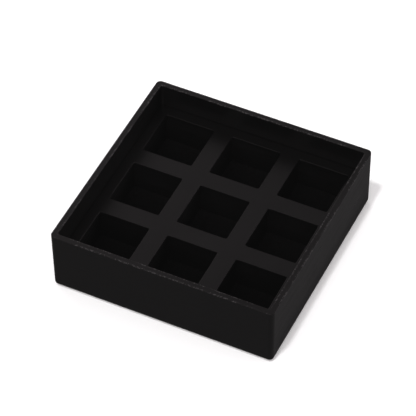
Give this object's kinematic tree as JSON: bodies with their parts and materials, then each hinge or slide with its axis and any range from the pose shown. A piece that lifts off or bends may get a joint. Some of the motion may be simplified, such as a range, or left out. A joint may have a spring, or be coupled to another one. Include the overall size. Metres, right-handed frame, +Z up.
{
  "type": "coin display tray",
  "caption": "Low square open tray with a lift-out insert that divides it into a grid of square pockets for coins.",
  "frame": {"origin": "centre of the footprint, on the surface that the tray stands on", "axes": "+X right, +Y to the back, +Z up; the sides of the tray lie along X and Y"},
  "size_m": [0.12, 0.12, 0.036],
  "materials": {
    "shell_plastic": "satin, finely textured moulded plastic",
    "face_plastic": "satin, finely textured plastic sheet",
    "grid_plastic": "matte moulded plastic",
    "liner_felt": "short black felt",
    "foot_rubber": "matte"
  },
  "bodies": {
    "tray": {"tray_shell": "shell_plastic", "floor_liner": "liner_felt", "foot_front_left": "foot_rubber", "foot_front_right": "foot_rubber", "foot_back_left": "foot_rubber", "foot_back_right": "foot_rubber"},
    "insert": {"face_plate": "face_plastic", "front_rail": "grid_plastic", "back_rail": "grid_plastic", "left_rail": "grid_plastic", "right_rail": "grid_plastic", "front_divider": "grid_plastic", "back_divider": "grid_plastic", "left_divider": "grid_plastic", "right_divider": "grid_plastic"}
  },
  "joints": [
    {"name": "insert_lift", "type": "slide", "parent": "tray", "child": "insert", "axis": [0, 0, 1], "range_m": [0, 0.04]}
  ]
}
